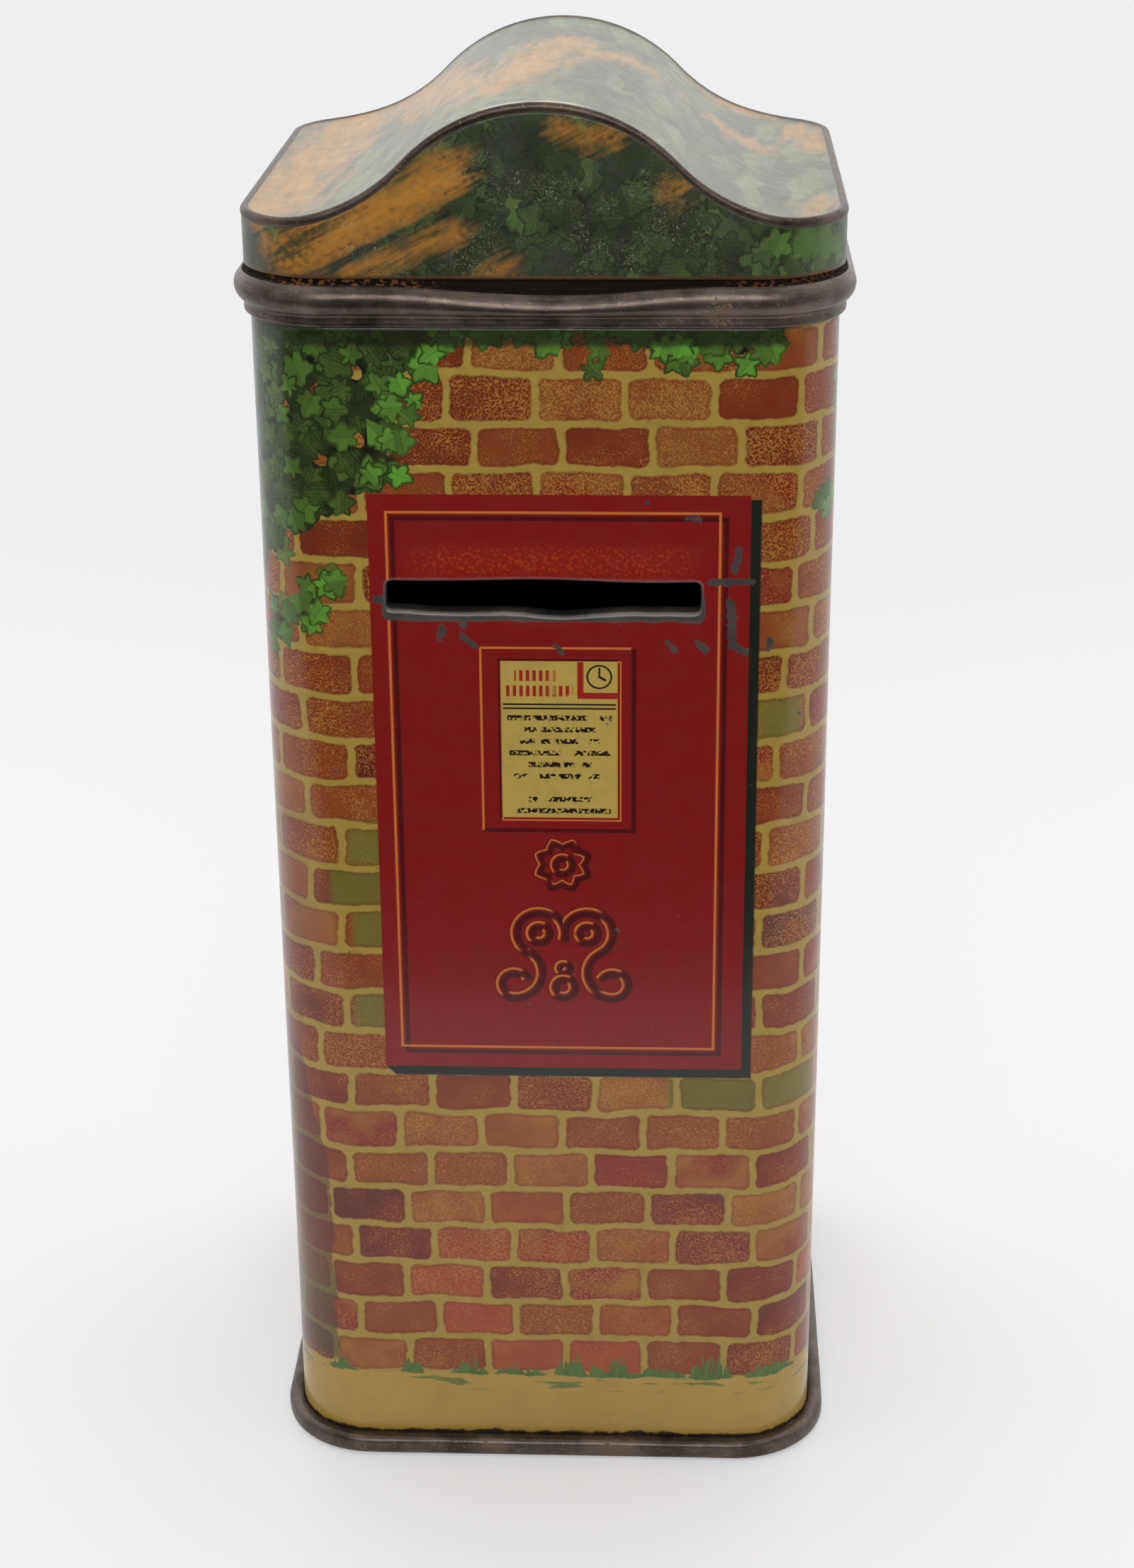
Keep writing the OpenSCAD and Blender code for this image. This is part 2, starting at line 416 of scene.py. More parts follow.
def make_collar(coats):
    """Hem over the wrap's top edge, hollow bead and the neck that the lid slips over."""
    skin = Skin()
    low, high, top = COLLAR_LOW.z, COLLAR_HIGH.z, BEAD_Z + BEAD_H / 2

    def bow(z):
        weight = bump_of(z, BEAD_Z + 0.8, 2.8)
        return lambda s, x: z - weight * bump_of(s, 1, 17) + 0.03 * waver(s * 0.2, z, 8)

    section = [(GAP, low), (HEM_OUT - 0.2, low)] + arc((HEM_OUT - 0.2, low + 0.2), 0.2, -60, 0, 3)
    section += [(HEM_OUT + 0.02, low + 0.55), (HEM_OUT - 0.06, low + HEM_H - 0.16)]
    section += arc((0, BEAD_Z), BEAD_OUT, -66, 62, 16, rise=BEAD_H / 2)
    # from here up the neck the collar takes its second coat, painted shade for the crevice under the lid's
    # edge
    shade_from = len(section) - 1
    section += arc((0, BEAD_Z), BEAD_OUT, 73, 84, 1, rise=BEAD_H / 2) + [(0.04, top + 0.05), (0, top + 0.3)]
    section += [(0, top + 1.4)]
    shade_to = len(section) - 1
    section += [(0, high - 0.3)] + arc((-SHEET, high - 0.3), SHEET, 20, 160, 6)
    section += [(-2 * SHEET, high - 0.4), (-2 * SHEET, high - 1.5), (-SHEET, high - 1.55)]
    section += [(-SHEET, low + HEM_H), (-SHEET, low + 0.8), (GAP, low + 0.8)]
    skin.sweep([(out, bow(z)) for out, z in section], lambda i: int(shade_from <= i < shade_to), 0.01, 0.99)
    skin.build("neck_collar", coats, "tin", "neck_ring")


def make_base(coats):
    """Rolled rim round the foot, and the sunk panel inside it."""
    skin = Skin()
    skirt, panel, edge = -2 * SHEET - GAP, BASE_RECESS + BASE_STEP, -BASE_BORDER - 0.8

    def uneven(out, z):
        push = 0.05 if out > 0.5 else 0
        return (lambda s: min(out + push * (waver(s * 0.16, z, 2) - 0.5), RIM_OUT), z)

    rim = [(GAP, SHEET), (GAP, RIM_H - 0.1), (GAP + 0.1, RIM_H)]
    rim += arc((RIM_OUT - RIM_R, RIM_H - RIM_R), RIM_R, 90, 0, 6)
    rim += arc((RIM_OUT - RIM_R, RIM_R), RIM_R, 0, -90, 6)
    rim += [(0.3, 0), (skirt + 0.25, 0), (skirt + 0.06, 0.08), (skirt, 0.3), (skirt, BASE_RECESS - 0.3),
            (skirt - 0.1, BASE_RECESS - 0.07), (skirt - 0.35, BASE_RECESS),
            (-BASE_BORDER + 0.5, BASE_RECESS), (-BASE_BORDER, BASE_RECESS + 0.15),
            (-BASE_BORDER - 0.3, panel - 0.12), (edge, panel)]
    first, under = skin.sweep([uneven(*point) for point in rim], 0, 0.01, 0.4, closed=False)
    back = [(edge, panel + SHEET), (-BASE_BORDER, BASE_RECESS + SHEET + 0.1), (skirt, BASE_RECESS + SHEET),
            (-SHEET - GAP, BASE_RECESS), (-SHEET - GAP, SHEET)]
    above, last = skin.sweep(back, 1, 0.41, 0.5, closed=False)
    skin.join(last.at(1), first.at(1.1), 1, whole(0.41, 0.5))
    skin.fill(under, edge, lambda x, y: panel, 0, filled(0.26, 0.76, 0.25, 0.23))
    skin.fill(above, edge, lambda x, y: panel + SHEET, 1, filled(0.76, 0.76, 0.2, 0.2))
    skin.build("base_pan", coats, "tin", "base_plate")


# ---- the lid


def make_lid_wall(coats):
    """Printed band of the lid with its wave-cut upper edge and the lap at its back."""
    skin = Skin()
    rows, inside = 14, whole(0.78, 0.97)

    def ring(out, part, lift, depth):
        lap = 0.22 * (out > 0.3)
        return skin.around(COLUMNS, lambda s: out + lap * (abs(s) > AROUND / 2 - SEAM_W / 2),
                           lambda s, x: LID_FOOT + (wave(x) - SEAM_H - LID_FOOT) * part + lift, depth)

    outer = [ring(LID_OUT - SHEET + 0.05, 0, 0, 0), ring(LID_OUT - 0.05, 0, 0.02, 0.02)]
    outer += [ring(LID_OUT, (i + 0.4) / rows, 0, (i + 1) / rows) for i in range(rows)]
    outer += [ring(LID_OUT, 1, -0.1, 1.05), ring(LID_OUT - 0.02, 1, 0.05, 1.1), ring(0.1, 1, 0.2, 1.15),
              ring(-0.12, 1, 0.4, 1.2)]
    inner = [ring(-0.16, 1, 0.1, 0), ring(LID_OUT - SHEET, 1, -0.3, 0.1), ring(LID_OUT - SHEET, 0, 0.1, 1)]
    for made in outer:
        heights = [skin.points[i][2] for i in made.ids]
        made.places = list(zip(COLUMNS, heights + heights[:1]))
    skin.chain(outer, 0, whole(0.01, 0.62))
    skin.join(outer[-1].at(-0.1), inner[0], 1, inside)
    skin.chain(inner, 1, inside)
    skin.join(inner[-1], outer[0].at(1.1), 1, inside)
    skin.build("lid_band", coats, "lid", "lid_wall")


def make_lid_top(coats):
    """Printed wavy top with the rolled edge that grips the wall."""
    skin = Skin()
    inside = whole(0.94, 0.98)

    def rings(points, count):
        return [skin.around(COLUMNS, out, lambda s, x, lift=lift: wave(x) + lift, i / count)
                for i, (out, lift) in enumerate(points)]

    outer = rings([(0.22, -SEAM_H), (0.42, -SEAM_H - 0.02), (0.55, -0.86), (0.6, -0.6), (0.57, -0.3),
                   (0.44, -0.08), (0.22, 0), (-0.02, -0.03), (-0.25, -0.13), (-0.5, -0.2),
                   (-0.9, -0.2)], 11)
    skin.chain(outer, lambda i: int(i < 8), whole(0.86, 0.92))
    inner = rings([(-0.9, -0.5), (0.1, -0.5), (0.19, -0.9)], 3)
    skin.chain(inner, 2, inside)
    skin.join(inner[-1].at(1), outer[0].at(1.2), 2, inside)
    skin.fill(outer[-1], -0.9, lambda x, y: wave(x) - 0.2, 0, filled(0.34, 0.42, 0.32, 0.41))
    skin.fill(inner[0], -0.9, lambda x, y: wave(x) - 0.5, 2, filled(0.83, 0.3, 0.15, 0.2))
    skin.prints = [[skin.points[i][:2] for i in face] for face in skin.faces]
    skin.build("lid_wave_top", coats, "lid", "lid_top")


# ---- material arithmetic


def colour(shade):
    """A colour given as on screen, from 0 to 255, as the shader wants it. Anything else stays as it is."""
    if isinstance(shade, Value) or len(shade) == 4:
        return shade
    parts = [v / 255 for v in shade]
    return tuple(v / 12.92 if v <= 0.04045 else ((v + 0.055) / 1.055) ** 2.4 for v in parts) + (1,)


class Value:
    """Something that a material works out at each point. Arithmetic on it adds nodes."""

    def __init__(self, socket):
        self.socket = socket

    def __add__(self, other):
        return calc("ADD", self, other)

    def __sub__(self, other):
        return calc("SUBTRACT", self, other)

    def __rsub__(self, other):
        return calc("SUBTRACT", other, self)

    def __mul__(self, other):
        return calc("MULTIPLY", self, other)

    def __truediv__(self, other):
        return calc("DIVIDE", self, other)

    def __neg__(self):
        return self * -1

    def __abs__(self):
        return calc("ABSOLUTE", self)

    __radd__, __rmul__ = __add__, __mul__


class Place(Value):
    """Where a point lies on the print, with its first two parts by name, in millimetres."""

    def __init__(self, vector):
        super().__init__(vector.socket)
        self.x, self.z, _ = split(vector)


WORK = []  # the material, or world, that is being made comes last


def begin(name, kind="materials"):
    """Starts a material, or a world. The functions below add their nodes to the last one started."""
    WORK.append(getattr(bpy.data, kind).new(name))
    WORK[-1].use_nodes = True
    WORK[-1].node_tree.nodes.clear()


def node(kind, inputs, output=0, **settings):
    """Adds a node. Inputs are Values or constants."""
    tree = WORK[-1].node_tree
    made = tree.nodes.new("ShaderNode" + kind)
    for key, value in settings.items():
        setattr(made, key, value)
    for key, value in inputs.items():
        if isinstance(value, Value):
            tree.links.new(value.socket, made.inputs[key])
        else:
            made.inputs[key].default_value = value
    return Value(made.outputs[output]) if made.outputs else None


def calc(operation, *values):
    return node("Math", dict(enumerate(values)), operation=operation)


def lowest(first, *others):
    for other in others:
        first = calc("MINIMUM", first, other)
    return first


def highest(first, *others):
    for other in others:
        first = calc("MAXIMUM", first, other)
    return first


def ramp(value, start, end, low=0, high=1):
    """Goes smoothly from low at start to high at end."""
    return node("MapRange", {0: value, 1: start, 2: end, 3: low, 4: high}, interpolation_type="SMOOTHSTEP",
                clamp=False)


def within(distance, soft=0.05):
    """1 where a signed distance is negative, 0 where it isn't, with a soft edge."""
    return ramp(distance, soft, -soft)


def mix(share, under, over):
    return node("Mix", {0: share, 6: colour(under), 7: colour(over)}, 2, data_type="RGBA")


def palette(value, *rows):
    """A colour for each value, between rows of (value, red, green, blue)."""
    made = node("ValToRGB", {}).socket.node
    for i, (place, *shade) in enumerate(rows):
        stop = made.color_ramp.elements[i] if i < 2 else made.color_ramp.elements.new(place)
        stop.position, stop.color = place, colour(shade)
    WORK[-1].node_tree.links.new(value.socket, made.inputs[0])
    return Value(made.outputs[0])


def vector(x, y, z=0):
    return node("CombineXYZ", {0: x, 1: y, 2: z})


def split(whole, kind="XYZ"):
    """The three parts of a vector or, with kind "Color", of a colour."""
    return [Value(socket) for socket in node("Separate" + kind, {0: whole}).socket.node.outputs]


def vector_math(operation, *values, output=0):
    return node("VectorMath", dict(enumerate(values)), output, operation=operation)


def scaled(whole, share):
    return node("VectorMath", {0: whole, 3: share}, operation="SCALE")


def minus(whole, x, z):
    return vector_math("SUBTRACT", whole, (x, z, 0))


def length(whole):
    return vector_math("LENGTH", whole, output=1)


def moved(whole, shift, stretch=(1, 1, 1)):
    return node("Mapping", {"Vector": whole, "Location": shift, "Scale": stretch})


SEED_STEPS = (31.7, 17.3, 5.1)  # how far apart two seeds lie in the noise


def noise(at, scale, seed=0, detail=2, roughness=0.5, distortion=0, stretch=(1, 1, 1)):
    """Cloudy noise from 0 to 1. Scale is in features per millimetre."""
    at = moved(at, [seed * step for step in SEED_STEPS], stretch)
    return node("TexNoise", {"Vector": at, "Scale": scale, "Detail": detail, "Roughness": roughness,
                             "Distortion": distortion})


def swing(at, scale, *rest, **more):
    """The same noise, as often below 0 as above it."""
    return noise(at, scale, *rest, **more) - 0.5


def chance(x, y, seed=0):
    """Three numbers drawn by chance for each whole x and y."""
    return split(node("TexWhiteNoise", {"W": x + y * 101.7 + seed}, 1, noise_dimensions="1D"), "Color")


def finish(shade, rough, metal=0, bump=None, depth=0.02, **constants):
    """Ends the material. depth is the bump's height in millimetres, constants are the shader's own."""
    inputs = {"Base Color": shade, "Roughness": rough, "Metallic": metal}
    if bump is not None:
        inputs["Normal"] = node("Bump", {"Height": bump, "Strength": 1, "Distance": depth * MM})
    inputs.update({name.replace("_", " "): value for name, value in constants.items()})
    node("OutputMaterial", {0: node("BsdfPrincipled", inputs)})
    return WORK[-1]


def begin_print(name):
    """Starts the material of a printed surface. Returns the place on the print."""
    begin(name)
    return Place(node("UVMap", {}, uv_map="print"))


def lobed(angle, count):
    """0 in the middle of each of count lobes and 1 between them. An angle may go down to -6.3."""
    return calc("PINGPONG", angle + 6.3, math.pi / count) / (math.pi / count)


def box(at, left, right, low, high):
    """Signed distance to a rectangle."""
    across = abs(at.x - (left + right) / 2) - (right - left) / 2
    return highest(across, abs(at.z - (low + high) / 2) - (high - low) / 2)


def spot(at, x, z, radius):
    """Signed distance to a round spot."""
    return length(minus(at, x, z)) - radius


def streak(at, x, z, end_x, end_z, width):
    """Signed distance to a short straight stroke."""
    run = (end_x - x, end_z - z, 0)
    away = minus(at, x, z)
    share = vector_math("DOT_PRODUCT", away, run, output=1) / (run[0] ** 2 + run[1] ** 2)
    near = scaled(run, lowest(highest(share, 0), 1))
    return vector_math("DISTANCE", away, near, output=1) - width / 2


# ---- the wrap's print

COURSE, COURSE_FOOT = 4.92, 15.3  # height of a course of bricks, and of one joint
BRICK, JOINT = 9, 0.76  # length of a brick with its joint, and the joint
BRICK_R = 0.7  # corner radius of a brick
DOOR = (-17.9, 21.2, 50.4, 116)  # left, right, low and high edge of the red door
SHADE_W = 1.1  # the door's painted shadow, right and below

RED = (122, 8, 7)
DARK_RED = (58, 8, 8)
GOLD = (190, 112, 40)
CREAM = (170, 146, 70)
SHADOW_GREEN = (24, 30, 22)
CHIP_GREY = (62, 60, 58)
INK = (26, 16, 10)


def brick_shade(at, wobble):
    """Courses of rounded bricks, each with its own tone and a squiggly stipple, in ochre mortar."""
    fine = swing(at, 1.3, 2)
    x = at.x + wobble * 0.9 + fine * 0.4
    z = at.z + swing(at, 0.14, 3) * 1.5 + fine * 0.4
    rise = (z - COURSE_FOOT) / COURSE
    course = calc("FLOOR", rise)
    even = 1 - calc("FLOORED_MODULO", course, 2)
    drift = even * ramp(course, 10, 20, 0.66, 0.25)
    along = x / BRICK - 0.19 + drift + (chance(course, 0.5 * course, 4)[0] - 0.5) * 0.1
    number = calc("FLOOR", along)
    u = (along - number - 0.5) * BRICK
    v = (rise - course - 0.5) * COURSE
    across = highest(abs(u) - (BRICK - JOINT) / 2 + BRICK_R, 0)
    upright = highest(abs(v) - (COURSE - JOINT) / 2 + BRICK_R, 0)
    edge = length(vector(across, upright)) - BRICK_R
    tone, ochre, patch = chance(number, course, 9)
    blotch = swing(at, 0.2, 5)
    tone = tone + blotch * 0.5
    shade = palette(tone, (0, 84, 30, 18), (0.15, 108, 38, 14), (0.4, 120, 50, 16), (0.65, 126, 60, 20),
                    (0.85, 138, 84, 32), (0.95, 120, 34, 20))
    shade = mix(ramp(at.z, 60, 120, 0, 0.3), shade, (92, 30, 8))
    reddish = ramp(at.z, 40, 20) * ramp(patch, 0.5, 0.8)
    shade = mix(reddish * 0.65, shade, (146, 52, 34))
    worms = abs(swing(at, 2.9, 6, detail=0))
    cover = calc("MULTIPLY_ADD", ochre * 1.2 + blotch * 2.6, 0.065, -0.012)
    stipple = ramp(worms - cover, 0.045, -0.03)
    shade = mix(stipple * ramp(at.z, 30, 100, 0.48, 0.58), shade, (168, 120, 46))
    shade = mix(moss(at) * 0.75, shade, (94, 98, 34))
    joint = mix(noise(at, 0.8, 7), (138, 112, 42), (154, 130, 56))
    shade = mix(ramp(edge, -0.5, -0.1) * 0.3, shade, (78, 22, 10))
    return mix(within(edge, 0.14), joint, shade)


# left, right, low and high edge of each green patch
MOSSY = ((-21.3, -17, 74.8, 79.6), (-23.2, -17, 69.8, 74.6), (-20.9, -17, 64.9, 69.7),
         (-21, -17, 55.1, 59.8), (22.4, 27.2, 89.2, 93.8), (13.2, 31, 45.3, 49.4))


def moss(at):
    """Where bricks are green: left of the door, right of the notice and under the door's right corner."""
    return ramp(lowest(*[box(at, *sides) for sides in MOSSY]), 0.7, -0.5)


SINGLE_LEAVES = ((23.9, 131.9, 1.8), (30.6, 114.8, 1.5), (-11.6, 130.2, 1.7), (5.8, 130.9, 1.2))


def ivy_edge(at):
    """Roughly how far a point of the wall is outside the ivy."""
    x, z = at.x, at.z
    sway = calc("SINE", x * 0.19) * 6
    slope = highest(118.5 - z, 0) * 1.45 - highest(z - 127, 0) * 0.9
    mass = highest(x + 14 + slope, sway + 99 - z)
    gap = calc("SINE", x * 0.83 + 1.5) * calc("SINE", z * 0.9 + x * 0.35 + 2.2)
    mass = mass + ramp(gap, 0.64, 0.84, 0, 14)
    sprig = streak(at, -31, 99.5, -21, 106.6, 2.6)
    fringe = highest(131.9 - z, abs(x) - 24)
    bunch = box(at, 9.3, 24.3, 129.9, 134.5)
    right = highest(sway * 1.2 + 113 - z, 33.5 - x)
    return lowest(mass, sprig, fringe, bunch, right, *[spot(at, *leaf) for leaf in SINGLE_LEAVES])


def leaves(at, size, seed, tone_from):
    """One layer of ivy leaves: where they are, and their shade."""
    shift = (seed * 7.31, seed * 3.17, 0)
    spread = {"Vector": moved(at, shift), "Scale": 1 / size, "Randomness": 0.85}
    cells = node("TexVoronoi", spread, 2, voronoi_dimensions="2D").socket.node
    centre = vector_math("SUBTRACT", Value(cells.outputs["Position"]), shift)
    turn, pick, tint = split(Value(cells.outputs["Color"]), "Color")
    away = vector_math("SUBTRACT", at, centre)
    span = length(away)
    x, y, _ = split(away)
    angle = calc("ARCTAN2", y, x) + turn * 6.28
    y = span * calc("SINE", angle)
    lobes = lobed(angle, 5)
    rough = swing(at, 1.6, seed)
    forward = calc("COSINE", angle) * 0.09
    reach = size * (forward + 0.46 + pick * 0.22 - lobes * 0.22) + rough * 0.7
    edge = span - reach
    outside = ivy_edge(Place(centre))
    grown = ramp(outside + (pick - 0.5) * 1.6, 0.3, 0.2)
    bright = ramp(outside, -4.5, 0) * 0.4 + tint * 0.5 + tone_from
    bright = bright + ramp(y, -0.5, 0.5, -0.07, 0.07) + rough * 0.2
    hatch = calc("SINE", y * 15 + rough * 9) * 0.5 + 0.5
    bright = bright - hatch * ramp(bright, 0.9, 0.3) * 0.14
    shade = palette(bright, (0, 36, 46, 18), (0.28, 58, 78, 28), (0.55, 70, 98, 34), (0.95, 84, 140, 42))
    vein = within(abs(y) - 0.05, 0.06) * within(edge + 0.4, 0.2) * 0.4
    rim = ramp(edge, -0.5, -0.1) * ramp(tint, 0.1, 0.8, 0.45, 0.85)
    shade = mix(highest(vein, rim), shade, (16, 22, 10))
    return within(edge, 0.08) * grown, shade


# size, seed and tone of each layer of leaves
LEAF_LAYERS = ((3, 1, -0.02), (3.6, 2, 0.06), (3.1, 5, 0.14))


def ivy(at, wall):
    """Ivy over the wall: a dark ground with three layers of leaves, and a painted shadow of the collar over
    the top of the wall.
    """
    ragged = swing(at, 0.55, 11, detail=3) * 4.5
    outside = ivy_edge(at)
    gaps = mix(ramp(noise(at, 0.3, 12), 0.4, 0.62), (20, 22, 12), (38, 48, 20))
    shade = mix(within(outside + 0.9 + ragged, 0.3), wall, gaps)
    for size, seed, tone in LEAF_LAYERS:
        place, leaf = leaves(at, size, seed, tone)
        shade = mix(place, shade, leaf)
    # painted shadow cast by the collar: a ragged near-black green band under it, fading out towards the
    # corners
    collar_shadow = ramp(at.z + ragged * 0.22, 130.9, 131.7) * ramp(abs(at.x + 4), 29.5, 27.5, 0, 0.82)
    return mix(collar_shadow, shade, (28, 32, 16))


# tufts of grass: middle, half width and height
TUFTS = ((-24.2, 2.2, 1.3), (-16.1, 1.6, 1.4), (-9.4, 2.5, 1.5), (-3.6, 3.6, 0.8), (2.3, 2.3, 2.1),
         (5.2, 1, 1.3), (7.5, 1.9, 1.6), (12.2, 4.2, 0.9), (18.4, 3, 1.9), (25.6, 4.2, 1.2))


def ground(at, wall, wobble):
    """The strip of ochre ground with its tufts of grass."""
    edge = at.z - 10.3 - wobble * 1.2
    sand = mix(noise(at, 0.09, 14, detail=4), (148, 116, 48), (166, 136, 64))
    shade = mix(within(edge, 0.15), wall, sand)
    tall = 0
    for x, half, height in TUFTS:
        tall = highest(tall, ramp(abs(at.x - x), half, half * 0.3, 0, height))
    around = ramp(abs(at.x), 32, 34) * ramp(noise(at, 0.16, 15), 0.4, 0.6) * 2.4
    tall = highest(tall, around)
    blades = noise(at, 2.4, 16, detail=1, stretch=(1, 0.2, 1))
    rise = highest(edge - (blades - 0.22) * tall * 3.4, -0.7 - edge + noise(at, 0.5, 17) * 1.1)
    strokes = noise(at, 0.8, 18, stretch=(0.26, 1.5, 1))
    strokes = ramp(strokes, 0.57, 0.63) * within(abs(at.z - 9.1) - 0.9, 0.5)
    grass = mix(blades, (36, 66, 26), (88, 112, 48))
    return mix(highest(within(rise, 0.12) * ramp(tall, 0.02, 0.3), strokes * 0.8), shade, grass)


def side_shade(at, shade, wobble):
    """The darker strip of wall that is painted down the lower left, with a sharp edge."""
    edge = at.x + 24.9 + wobble * 2.2 + ramp(at.z, 34, 52, 0, 3.4)
    low = within(edge, 0.18) * ramp(at.z, 60, 46) * ramp(at.z, 11, 12)
    upper = ramp(at.x, -24, -28.5) * ramp(at.z, 55, 66) * ramp(at.z, 86, 78) * 0.4
    olive = mix(ramp(at.z, 20, 26), (58, 52, 30), (78, 32, 28))
    cover = highest(low, upper) * ramp(at.x, -76, -58, 0, 0.66)
    return mix(cover, shade, olive)


def frame_lines(at, shade, left, right, low, high):
    """A gold rectangle and its dark shadow line, a little to the right and below."""
    gold = abs(box(at, left, right, low, high)) - 0.13
    dark = abs(box(at, left + 0.62, right + 0.62, low - 0.62, high - 0.62)) - 0.25
    shade = mix(within(dark) * 0.85, shade, DARK_RED)
    return mix(within(gold, 0.06) * 0.8, shade, GOLD)


def door(at, wall):
    """The red door with its painted shadow and frame, the notice and the ornament, over the wall."""
    left, right, low, high = DOOR
    grain = noise(at, 1.6, 21, detail=3)
    red = mix(grain * 0.5, RED, (96, 7, 7))
    sparks = ramp(noise(at, 2.6, 22, detail=1), 0.52, 0.62)
    glow = ramp(abs(at.z - 108.9), 2.4, 0.6) * ramp(abs(at.x - 1), 17, 11)
    red = mix(glow * (sparks * 0.3 + 0.12), red, (176, 62, 18))
    face = frame_lines(at, red, -16, 18.1, 52.9, 114.1)
    face = ornament(at, notice(at, face))
    cast = box(at, left + SHADE_W, right + SHADE_W, low - SHADE_W, high - SHADE_W * 0.4)
    corner = highest(box(at, left, left + 2 * SHADE_W, low - SHADE_W, low), left + low - at.x - at.z)
    shade = mix(within(lowest(cast, corner), 0.12), wall, SHADOW_GREEN)
    return mix(within(box(at, *DOOR), 0.08), shade, face)


NOTICE = (-4.5, 7.65, 80.4, 98)
DIAL = (5.75, 96.35)
ROW_H = 1.32  # from one row of writing to the next


def notice(at, shade):
    """The cream notice: a dial, two headings as dashes, two rules and rows of unreadable marks."""
    left, right, low, high = NOTICE
    outer = (left - 2.1, right + 1.7, low - 1.5, high + 1.5)
    gold = lowest(box(at, outer[0] - 0.12, outer[0] + 0.12, outer[2], outer[3]),
                  box(at, outer[0], outer[1] - 0.3, outer[3] - 0.12, outer[3] + 0.12))
    dark = lowest(box(at, outer[1] - 0.25, outer[1] + 0.25, outer[2] - 0.2, outer[3]),
                  box(at, outer[0], outer[1] + 0.25, outer[2] - 0.22, outer[2] + 0.22))
    shade = mix(within(dark) * 0.85, shade, DARK_RED)
    shade = mix(within(gold) * 0.8, shade, GOLD)
    shade = mix(within(box(at, left - 0.3, right, low, high + 0.3)), shade, DARK_RED)
    shade = mix(within(abs(box(at, left, right + 0.32, low - 0.32, high)) - 0.08) * 0.8, shade, GOLD)
    paper = mix(noise(at, 1.2, 24, detail=3) * 0.6, CREAM, (148, 122, 54))
    shade = mix(within(box(at, left, right, low, high)), shade, paper)
    rules = lowest(abs(at.z - 93.25), abs(at.z - 92.8)) - 0.1
    marks = highest(rules, abs(at.x - (left + right) / 2) - 5.9)
    corner = highest(box(at, 3.45, right, 93.9, high), -box(at, 4.1, right + 1, 94.6, high + 1))
    shade = mix(within(lowest(marks, clock(at), writing(at))), shade, INK)
    return mix(within(lowest(corner, headings(at))), shade, (140, 22, 14))


def clock(at):
    """A plain dial with two hands."""
    rim = abs(spot(at, *DIAL, 1.25)) - 0.1
    hour = streak(at, *DIAL, DIAL[0], DIAL[1] + 0.95, 0.2)
    minute = streak(at, *DIAL, DIAL[0] + 0.6, DIAL[1] - 0.35, 0.26)
    return lowest(rim, hour, minute)


def headings(at):
    """Two rows of short upright red strokes in place of a heading."""
    beat = abs(calc("FRACT", at.x * 1.45) - 0.5) - 0.27
    breaks = noise(vector(at.x * 0.5, calc("FLOOR", at.z * 0.7)), 1, detail=0) - 0.62
    upper = box(at, -3.1, 1.2, 95.85, 97.05)
    lower = box(at, -4.1, 3, 94.15, 95.35)
    return highest(lowest(upper, lower), beat * 0.7, breaks)


def writing(at):
    """Rows of small squiggles that stand for print too small to read."""
    row = at.z / ROW_H
    level = abs(calc("FRACT", row) - 0.5) * ROW_H - 0.24
    number = calc("FLOOR", row)
    squiggle = noise(vector(at.x, at.z * 0.9, number), 3.1, detail=1)
    word = noise(vector(at.x * 0.62, number * 3.7), 1, detail=0)
    rows = lowest(abs(at.z - 88.4) - 3.9, abs(at.z - 81.9) - 1.2)
    wide = abs(at.x - 1.6) - 4.4 - calc("SINE", number * 2.3) * 1.1
    return highest((0.47 - squiggle) * 1.6, level - 0.05, rows, wide, (word - 0.6) * 2)


ORNAMENT_X = 1.75
VOLUTE, SWEEP, CURL = (2.6, 66.8, 2.6), (5.35, 62.04, 2.9), (5.35, 60.64, 1.5)
# each arc of the right-hand scroll: its circle, the angle it faces and half the angle it spans
SCROLLS = ((VOLUTE, 70, 130), (SWEEP, 195, 75), (CURL, 30, 125), ((2.6, 66.8, 0.95), 0, 180),
           ((0, 60.3, 1.05), 0, 180), ((0, 62.6, 0.5), 0, 180))
STROKE = 0.5  # half the width of a scroll's stroke


def emboss(offset, unit, near, flip):
    """Where a stroke shows its gold edge, up and to the left, and its dark edge, down and to the right."""
    ux, uz, _ = split(unit)
    facing = (uz * 0.6 - ux * flip * 0.8) * calc("SIGN", offset)
    inner = ramp(abs(offset), STROKE * 0.35, STROKE * 0.6)
    lit = within(near) * inner * ramp(facing, 0, 0.3)
    return lit, within(near - 0.18, 0.16) * ramp(facing, 0.35, -0.25, 0.35, 1)


def ornament(at, shade):
    """A plain rosette over a pair of mirrored scrolls."""
    across = at.x - ORNAMENT_X
    flip = calc("SIGN", across)
    folded = vector(abs(across), at.z)
    gold, dark = 0, 0
    for (x, z, radius), faced, half in SCROLLS:
        away = minus(folded, x, z)
        offset = length(away) - radius
        unit = vector_math("NORMALIZE", away)
        faced_to = (math.cos(math.radians(faced)), math.sin(math.radians(faced)), 0)
        turned = vector_math("DOT_PRODUCT", unit, faced_to, output=1)
        near = highest(abs(offset) - STROKE, (math.cos(math.radians(half)) - turned) * radius)
        lit, unlit = emboss(offset, unit, near, flip)
        gold, dark = highest(lit, gold), highest(unlit, dark)
    away = minus(at, ORNAMENT_X, 74.9)
    ax, az, _ = split(away)
    petals = lobed(calc("ARCTAN2", az, ax), 8)
    span = length(away)
    unit = vector_math("NORMALIZE", away)
    for offset in (span - 2.1 - petals * 0.7, span - 0.9):
        lit, unlit = emboss(offset, unit, abs(offset) - STROKE * 0.85, 1)
        gold, dark = highest(lit, gold), highest(unlit, dark)
    shade = mix(dark * 0.85, shade, (50, 4, 6))
    return mix(gold * 0.75, shade, GOLD)


